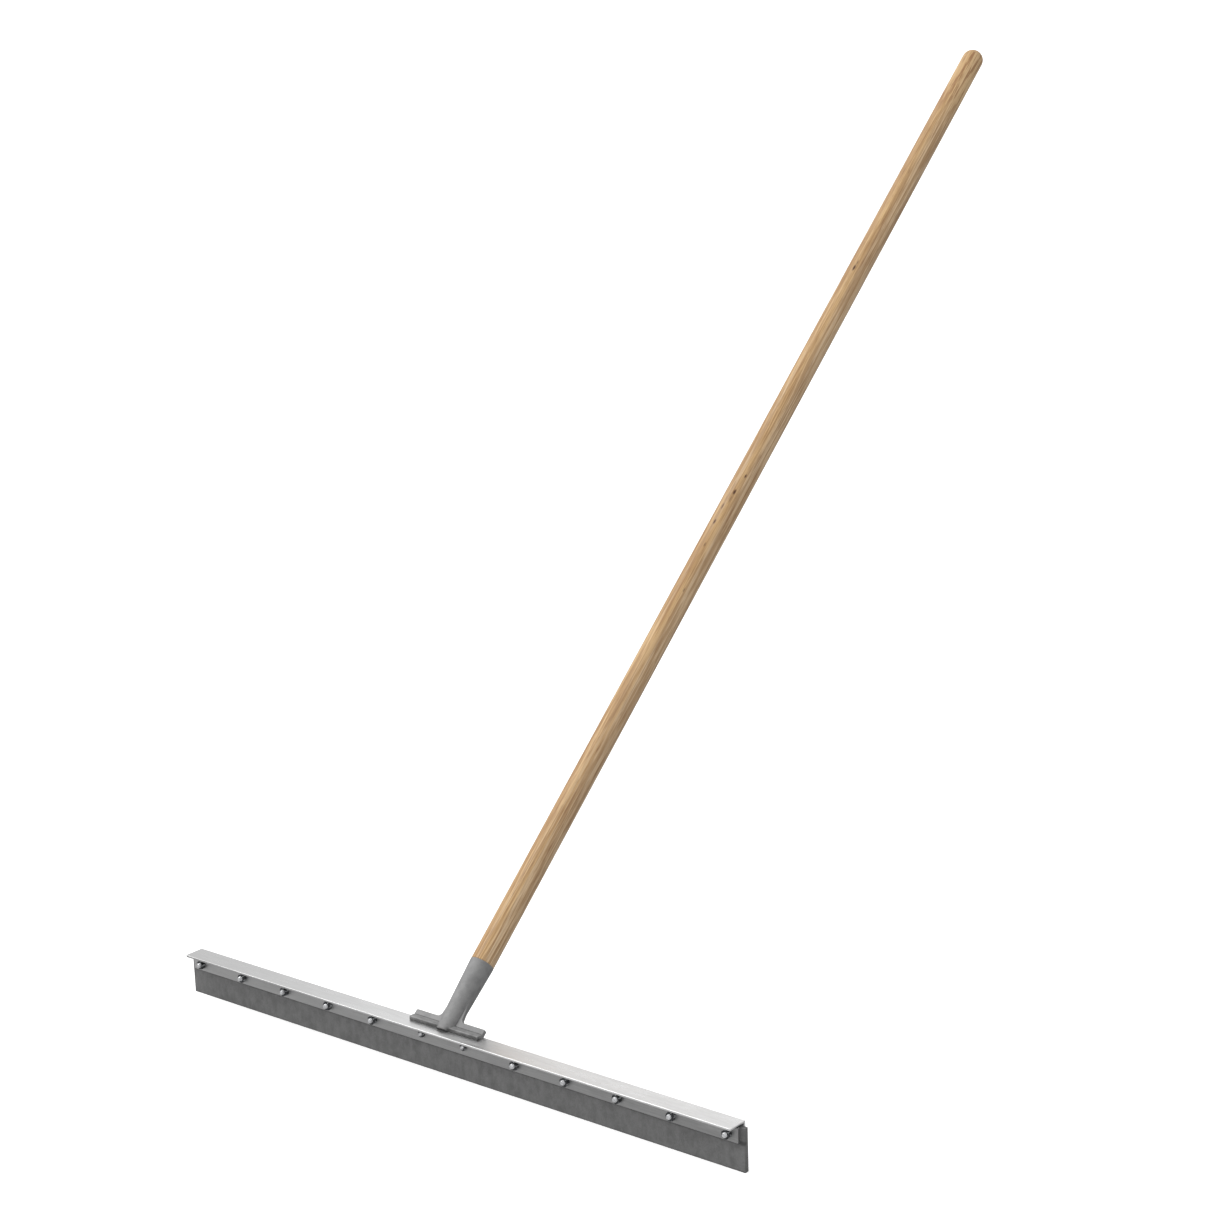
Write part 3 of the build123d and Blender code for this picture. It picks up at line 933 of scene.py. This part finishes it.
@dataclass
class Fasteners:
    """One row of hexagon bolts and nuts, each modelled once and copied into place."""

    row: BoltRow
    count: int
    bolt_finish: Material
    nut_finish: Material
    diameter: float
    pitch: float
    across_flats: float
    head_height: float
    nut_height: float
    tip_chamfer: float = 0.8 * MM
    turn_step: float = 23.0
    chamfer_slope: float = math.tan(math.radians(30))
    flat_share: float = 0.97
    thread_depth: float = 0.58
    crest_share: float = 1 / 16
    shank_ease: float = 0.06 * MM
    bore_ease: float = 0.04 * MM
    countersink: float = 0.35 * MM
    overcut: float = 0.2 * MM
    segments: int = 48

    def thread(self, low: float, high: float) -> Object:
        """Model a rod with a true helical thread between two heights, chamfered at the top.

        Args:
            low: Height of the lower end.
            high: Height of the upper end.

        Returns:
            The new closed mesh object.
        """
        crest = self.diameter / 2
        root = crest - self.thread_depth * self.pitch
        turns = math.ceil((high - low) / self.pitch) + 3
        start = low - 1.5 * self.pitch
        flat = self.crest_share * self.pitch
        middle = self.pitch / 2
        path = ((root, 0.0), (crest, middle - flat), (crest, middle + flat), (root, self.pitch))
        deselect_all()
        bpy.ops.mesh.primitive_plane_add(size=self.pitch)
        rod = bpy.context.object
        rod.name = f"{self.row.value}_thread"
        with editing(rod):
            bpy.ops.mesh.select_mode(type="VERT")
            bpy.ops.mesh.merge(type="CENTER")
            bpy.ops.transform.translate(value=(root, 0, start))
            for (radius, height), (next_radius, next_height) in pairwise(path):
                step = (next_radius - radius, 0, next_height - height)
                bpy.ops.mesh.extrude_vertices_move(TRANSFORM_OT_translate={"value": step})
        apply_modifier(
            rod,
            "SCREW",
            angle=math.tau,
            screw_offset=self.pitch,
            iterations=turns,
            steps=self.segments,
            render_steps=self.segments,
            use_merge_vertices=True,
            merge_threshold=THREAD_MERGE,
        )
        with editing(rod):
            bpy.ops.mesh.remove_doubles(threshold=THREAD_MERGE)
            for height, side in ((low, (0, 0, -1)), (high, (0, 0, 1))):
                bpy.ops.mesh.select_all(action="SELECT")
                bpy.ops.mesh.bisect(
                    plane_co=(0, 0, height), plane_no=side, use_fill=True, clear_outer=True
                )
            bpy.ops.mesh.select_all(action="SELECT")
            bpy.ops.mesh.normals_make_consistent(inside=False)
        wide = 1.5 * crest
        tip = crest - self.tip_chamfer
        profile = ((wide, low - self.pitch), (wide, high - wide + tip), (tip, high))
        combine(rod, turned("tip_trim", profile, self.segments), "INTERSECT")
        return rod

    def trimmed_hexagon(self, name: str, height: float, both_ends: bool) -> Object:
        """Model a hexagon whose corners are turned off at its free end, or at both ends.

        Args:
            name: The new object's name.
            height: The hexagon's height.
            both_ends: Whether the foot is trimmed too.

        Returns:
            The new mesh object.
        """
        deselect_all()
        corner = self.across_flats / math.sqrt(3)
        bpy.ops.mesh.primitive_cylinder_add(vertices=6, radius=corner, depth=height)
        block = bpy.context.object
        block.name = name
        with editing(block):
            bpy.ops.transform.translate(value=(0, 0, height / 2))
        flat = self.flat_share * self.across_flats / 2
        wide = self.across_flats
        drop = (wide - flat) * self.chamfer_slope
        trims = [((wide, -drop), (wide, height - drop), (flat, height))]
        if both_ends:
            trims.append(((flat, 0.0), (wide, drop), (wide, height + drop)))
        for profile in trims:
            combine(block, turned(name + "_trim", profile, self.segments), "INTERSECT")
        return block

    def bolt(self, grip: float, tip: float) -> Object:
        """Model a bolt that stands on its head's seat, head below and tip up.

        Args:
            grip: Distance from the seat to the nut's foot.
            tip: How far the bolt goes past the nut.

        Returns:
            The new mesh object.
        """
        name = f"{self.row.value}_bolt_model"
        head = self.trimmed_hexagon(name, self.head_height, both_ends=False)
        with editing(head):
            bpy.ops.transform.rotate(value=math.pi, orient_axis="X", center_override=(0, 0, 0))
        length = grip + self.nut_height + tip
        shank = self.diameter / 2 - self.shank_ease
        profile = ((shank, -self.head_height / 2), (shank, grip - 2 * self.pitch))
        combine(head, turned(name + "_shank", profile, self.segments), "UNION")
        combine(head, self.thread(grip - 3 * self.pitch, length), "UNION")
        soften(head)
        return head

    def nut(self) -> Object:
        """Model a nut that stands on the origin, with a countersunk bore.

        Returns:
            The new mesh object.
        """
        name = f"{self.row.value}_nut_model"
        block = self.trimmed_hexagon(name, self.nut_height, both_ends=True)
        bore = self.diameter / 2 + self.bore_ease
        mouth = bore + self.countersink + self.overcut
        profile = (
            (mouth, -self.overcut),
            (bore, self.countersink),
            (bore, self.nut_height - self.countersink),
            (mouth, self.nut_height + self.overcut),
        )
        combine(block, turned(name + "_bore", profile, self.segments), "DIFFERENCE")
        soften(block)
        return block

    def build(self) -> None:
        """Model the bolt and the nut and copy them to every place of the row, tips to the front."""
        row = self.row.value
        low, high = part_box(f"{self.row.value}_bolt_1")
        nut_low, nut_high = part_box(f"{self.row.value}_nut_1")
        seat = high.y - self.head_height
        bolt = self.bolt(seat - nut_high.y, nut_low.y - low.y)
        nut = self.nut()
        upright = Matrix.Rotation(math.radians(90), 4, "X")
        kinds = (
            ("bolt", bolt, self.bolt_finish, seat, self.turn_step),
            ("nut", nut, self.nut_finish, nut_high.y, -self.turn_step),
        )
        for number in range(1, self.count + 1):
            low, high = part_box(f"{self.row.value}_bolt_{number}")
            centre = (low + high) / 2
            for kind, model, finish, depth, turn in kinds:
                piece = link_new(f"hex_{kind}_{row}_{number:02d}", model.data.copy())
                spin = Matrix.Rotation(math.radians(number * turn), 4, "Z")
                place = Matrix.Translation((centre.x, depth, centre.z))
                piece.data.transform(place @ upright @ spin)
                settle(piece, f"{row}_{kind}_{number}", finish)
        bpy.data.objects.remove(bolt)
        bpy.data.objects.remove(nut)
        log.info("fasteners: %d %s bolts and nuts in place", self.count, row)


@dataclass
class CastSocket:
    """The cast socket, with soft edges and blended corners, and the screw in its back."""

    casting: Material
    plated: Material
    voxel: float = 0.65 * MM
    smooth_steps: int = 3
    tilt: float = HANDLE_TILT
    head_radius: float = 4.3 * MM
    head_height: float = 2.6 * MM
    head_rim: float = 0.8 * MM
    slot_width: float = 1.2 * MM
    slot_depth: float = 1.0 * MM
    shank_radius: float = 2.1 * MM
    shank_length: float = 20.0 * MM
    point_length: float = 5.0 * MM
    point_radius: float = 0.2 * MM
    dome_top: float = math.radians(86)
    dome_steps: int = 7
    segments: int = 48
    wear_blur: int = 3

    def build_casting(self) -> None:
        """Copy the CAD shape and give it the rounded edges and blended corners of a casting."""
        piece = link_new("cast_socket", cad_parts["handle_socket"].data.copy())
        with editing(piece):
            bpy.ops.mesh.remove_doubles(threshold=CAD_MERGE)
            bpy.ops.mesh.normals_make_consistent(inside=False)
        apply_modifier(piece, "REMESH", mode="VOXEL", voxel_size=self.voxel)
        apply_modifier(piece, "SMOOTH", factor=0.5, iterations=self.smooth_steps)
        smooth(piece, ALL_ANGLES)
        mark_wear(piece, self.wear_blur)
        settle(piece, "handle_socket", self.casting)
        log.info("socket: casting has %d faces", len(piece.data.polygons))

    def build_screw(self) -> None:
        """Model the slotted round-head screw that pins the handle in the socket."""
        rise = self.head_height - self.head_rim
        dome = [
            (self.head_radius * math.cos(angle), self.head_rim + rise * math.sin(angle))
            for angle in np.linspace(0, self.dome_top, self.dome_steps)
        ]
        profile = (
            (self.point_radius, -self.shank_length),
            (self.shank_radius, self.point_length - self.shank_length),
            (self.shank_radius, 0.0),
            (self.head_radius, 0.0),
            *dome,
        )
        screw = turned("socket_screw", profile, self.segments)
        deselect_all()
        bpy.ops.mesh.primitive_cube_add(size=1)
        slot = bpy.context.object
        with editing(slot):
            size = (4 * self.head_radius, self.slot_width, 2 * self.slot_depth)
            bpy.ops.transform.resize(value=size, center_override=(0, 0, 0))
            bpy.ops.transform.translate(value=(0, 0, self.head_height))
        combine(screw, slot, "DIFFERENCE")
        soften(screw)
        back = Vector((0, math.cos(self.tilt), -math.sin(self.tilt)))
        seat = self.screw_point(back) + back * self.shank_length
        turn = Matrix.Rotation(-(math.pi / 2 + self.tilt), 4, "X")
        screw.data.transform(Matrix.Translation(seat) @ turn)
        settle(screw, "handle_screw", self.plated)
        log.info("socket: screw in place")

    def screw_point(self, back: Vector) -> Vector:
        """Find the screw's point on its CAD node.

        Args:
            back: The direction from the screw's point to its head.

        Returns:
            The place of the screw's point.
        """
        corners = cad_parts["handle_screw"].data.vertices
        point = min((corner.co for corner in corners), key=lambda place: place.dot(back))
        return Vector((0, point.y, point.z))

    def build(self) -> None:
        """Build the casting and its screw."""
        self.build_casting()
        self.build_screw()


@dataclass
class Handle:
    """The round wooden handle: tenon, shoulder, long shaft and domed end."""

    effects: Effects
    tilt: float = HANDLE_TILT
    foot: Point = (0.0, 1.875 * MM, 60.75 * MM)
    radius: float = 15.875 * MM
    tenon_foot: float = 16.5 * MM
    tenon_end_radius: float = 11.2 * MM
    tenon_mouth_radius: float = 14.0 * MM
    shoulder: float = 94.0 * MM
    shoulder_chamfer: float = 0.5 * MM
    end: float = 1692.8 * MM
    rings: int = 60
    dome_steps: int = 14
    segments: int = 96
    dome_top: float = math.radians(87)
    tenon_lead: tuple[float, float] = (0.3 * MM, 0.4 * MM)
    unevenness: float = 0.06 * MM
    long_wave: float = 17.0
    short_wave: float = 41.0
    wave_start: float = 1.3

    def profile(self) -> list[tuple[float, float]]:
        """Steps of the turned shape, with the slight waviness of a sanded shaft.

        Returns:
            Radius and height of each step.
        """
        start = self.shoulder + self.shoulder_chamfer
        dome = self.end - self.radius
        inset, rise = self.tenon_lead
        steps = [
            (self.tenon_end_radius - inset, self.tenon_foot),
            (self.tenon_end_radius, self.tenon_foot + rise),
            (self.tenon_mouth_radius, self.shoulder),
            (self.radius - self.shoulder_chamfer, self.shoulder),
            (self.radius, start),
        ]
        for number in range(1, self.rings):
            share = number / self.rings
            wave = math.sin(self.long_wave * share)
            wave *= math.sin(self.short_wave * share + self.wave_start)
            narrow = self.unevenness * (1 - wave) / 2
            steps.append((self.radius - narrow, start + (dome - start) * share))
        for angle in np.linspace(0, self.dome_top, self.dome_steps):
            steps.append((self.radius * math.cos(angle), dome + self.radius * math.sin(angle)))
        return steps

    def finish(self) -> Material:
        """Build the handle's wood.

        Returns:
            The new material.
        """
        wood = HandleWood(
            name="clear_coated_wood",
            colour=(0.52, 0.32, 0.145),
            pale=(0.70, 0.475, 0.235),
            streak=(0.33, 0.17, 0.064),
            ring=(0.27, 0.125, 0.045),
            fleck=(0.085, 0.034, 0.014),
            grey=(0.62, 0.47, 0.31),
            red=(0.28, 0.12, 0.045),
            # Paler side facing right: pale outer wood and painted light.
            sap_and_light=(0.74, 0.54, 0.33),
            sap_and_light_bearing=88.0,
            roughness=0.42,
            metallic=0.0,
            foot=self.foot,
            tilt=self.tilt,
            radius=self.radius,
            end=self.end,
            pith=(0.046, 0.034),
            ring_gap=2.6 * MM,
            red_reach=0.17,
            flecks=(
                Fleck(1.2494, 13.5, 0.0080, 0.0025, 1.0),
                Fleck(1.2590, 16.5, 0.0062, 0.0013, 0.7),
                Fleck(0.8704, 35.7, 0.0045, 0.0018, 0.95),
                Fleck(0.8412, 24.5, 0.0065, 0.0027, 1.0),
                Fleck(0.8290, 23.5, 0.0100, 0.0018, 0.5),
                Fleck(0.8150, 3.6, 0.0075, 0.0018, 0.75),
                Fleck(0.7884, 5.6, 0.0060, 0.0023, 0.95),
                Fleck(0.7499, 18.7, 0.0052, 0.0015, 0.6),
                Fleck(0.6751, 36.4, 0.0047, 0.0015, 0.55),
            ),
        )
        return wood.make(self.effects)

    def build(self) -> None:
        """Turn the handle, lean it into its place and dress it."""
        piece = turned("wooden_handle", self.profile(), self.segments)
        lean = Matrix.Rotation(-self.tilt, 4, "X")
        piece.data.transform(Matrix.Translation(self.foot) @ lean)
        smooth(piece)
        settle(piece, "handle", self.finish())
        log.info("handle: turned with %d faces", len(piece.data.polygons))


# ---- the studio -------------------------------------------------------------------------------
@dataclass
class Studio:
    """Pale floor, soft light and the camera."""

    effects: Effects
    floor_half: float = 400.0
    camera_place: Point = (2.06186, -2.16163, 1.35917)
    azimuth: float = 39.4714
    elevation: float = 14.3343
    roll: float = -1.8155
    lens: float = 76.0844
    sensor: float = 36.0
    clip: tuple[float, float] = (0.05, 500.0)
    fill: float = 0.46
    lobe_from: Point = (-0.603, -0.497, 0.625)
    lobe_dark_at: float = -0.5
    lobe_full_at: float = 0.6
    lobe_strength: float = 0.5
    backdrop: float = 1.0
    sun_strength: float = 1.15
    sun_from: Point = (-1.3, -0.75, 1.6)
    sun_angle: float = 40.0

    def build_floor(self) -> None:
        """Lay the floor under the rubber's edge."""
        deselect_all()
        bpy.ops.mesh.primitive_plane_add(size=2 * self.floor_half, location=(0, 0, 0))
        floor = bpy.context.object
        floor.name = "studio_floor"
        finish = PaleFloor(
            name="pale_floor",
            colour=grey(0.95),
            roughness=0.8,
            metallic=0.0,
            bounce=grey(0.42),
            glow=0.45,
        )
        floor.data.materials.append(finish.make(self.effects))

    def build_surround(self) -> None:
        """Surround the scene with soft light that is brightest high on the left."""
        world = bpy.data.worlds.new("studio_surround")
        world.use_nodes = True
        graph = Graph(world.node_tree)
        direction = graph.add("TexCoord").outputs["Generated"]
        facing = graph.vector("DOT_PRODUCT", direction, self.lobe_from)["Value"]
        share = graph.ramp(facing, self.lobe_dark_at, self.lobe_full_at)
        level = graph.math("MULTIPLY_ADD", share, self.lobe_strength, self.fill)
        seen = graph.add("LightPath").outputs["Is Camera Ray"]
        shown = graph.math("MULTIPLY_ADD", seen, graph.math("SUBTRACT", self.backdrop, level), level)
        background = world.node_tree.nodes["Background"]
        graph.tree.links.new(shown, background.inputs["Strength"])
        background.inputs["Color"].default_value = WHITE
        bpy.context.scene.world = world

    def build_light(self) -> None:
        """Add a soft key light from the left."""
        lamp = bpy.data.lights.new("soft_key", "SUN")
        lamp.energy = self.sun_strength
        lamp.angle = math.radians(self.sun_angle)
        sun = link_new("soft_key", lamp)
        sun.rotation_euler = Vector(self.sun_from).to_track_quat("Z", "Y").to_euler()

    def build_camera(self) -> None:
        """Set the camera at its viewpoint."""
        azimuth, elevation, roll = map(math.radians, (self.azimuth, self.elevation, self.roll))
        back = Vector(
            (
                math.sin(azimuth) * math.cos(elevation),
                -math.cos(azimuth) * math.cos(elevation),
                math.sin(elevation),
            )
        )
        level = Vector((math.cos(azimuth), math.sin(azimuth), 0))
        upright = back.cross(level)
        right = math.cos(roll) * level + math.sin(roll) * upright
        up = math.cos(roll) * upright - math.sin(roll) * level
        data = bpy.data.cameras.new("studio_camera")
        data.sensor_width = self.sensor
        data.lens = self.lens
        data.clip_start, data.clip_end = self.clip
        camera = link_new("studio_camera", data)
        turn = Matrix((right, up, back)).transposed().to_4x4()
        camera.matrix_world = Matrix.Translation(self.camera_place) @ turn
        bpy.context.scene.camera = camera

    def build(self) -> None:
        """Set up the camera, the light and the floor."""
        bpy.context.scene.view_settings.view_transform = "Standard"
        self.build_camera()
        self.build_surround()
        self.build_light()
        self.build_floor()
        log.info("studio: camera, light and floor in place")


def socket_front() -> float:
    """Find how far forward the cast socket's base bar reaches, away from the tube's nose.

    Returns:
        The place of the bar's front face along Y.
    """
    corners = [corner.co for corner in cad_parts["handle_socket"].data.vertices]
    end = max(corner.x for corner in corners)
    return min(corner.y for corner in corners if corner.x > BASE_END_SHARE * end)


def main() -> None:
    """Build the studio, then every sub-assembly in order."""
    logging.basicConfig(level=logging.INFO, format="%(name)s: %(message)s")
    effects = Effects()
    Studio(effects).build()
    # Lit copy of the zinc plate, whitened as a painted highlight on the bolt tips and the screw.
    zinc_painted_lit = Plated(
        name="zinc_plate_painted_lit",
        colour=(0.95, 0.96, 0.98),
        shade_and_grime=(0.12, 0.123, 0.13),
        wear_and_highlight=(1.0, 1.0, 1.0),
        roughness=0.2,
        metallic=0.7,
    ).make(effects)
    # Shaded copy of the same zinc plate: near black, painted shade and dark reflection on the nuts.
    zinc_painted_dark = Plated(
        name="zinc_plate_painted_dark",
        colour=(0.10, 0.105, 0.11),
        shade_and_grime=(0.015, 0.016, 0.017),
        wear_and_highlight=(0.85, 0.87, 0.89),
        roughness=0.14,
        metallic=1.0,
    ).make(effects)
    _frame_low, frame_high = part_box("frame_angle")
    casting = CastMetal(
        name="cast_aluminium",
        colour=grey(0.285),
        dark=(0.175, 0.175, 0.177),
        wear_and_highlight=grey(0.38),
        # Painted shade along the base's front, down to the frame.
        shade_and_grime=(0.035, 0.035, 0.036),
        foot=(0.0, socket_front(), frame_high.z),
        foot_width=7.5 * MM,
        foot_scale=90.0,
        wear_scale=400.0,
        roughness=0.62,
        metallic=0.3,
        grain_scale=1100.0,
        grain_height=0.12 * MM,
    ).make(effects)
    BladeAssembly(effects).build()
    Fasteners(
        row=BoltRow.BLADE,
        count=10,
        bolt_finish=zinc_painted_lit,
        nut_finish=zinc_painted_dark,
        diameter=6.35 * MM,
        pitch=1.27 * MM,
        across_flats=11.1 * MM,
        head_height=4.2 * MM,
        nut_height=5.6 * MM,
    ).build()
    Fasteners(
        row=BoltRow.SOCKET,
        count=2,
        bolt_finish=zinc_painted_lit,
        nut_finish=zinc_painted_dark,
        diameter=4.8 * MM,
        pitch=0.9 * MM,
        across_flats=8.7 * MM,
        head_height=3.2 * MM,
        nut_height=3.2 * MM,
    ).build()
    CastSocket(casting, zinc_painted_lit).build()
    Handle(effects).build()


if __name__ == "__main__":
    main()
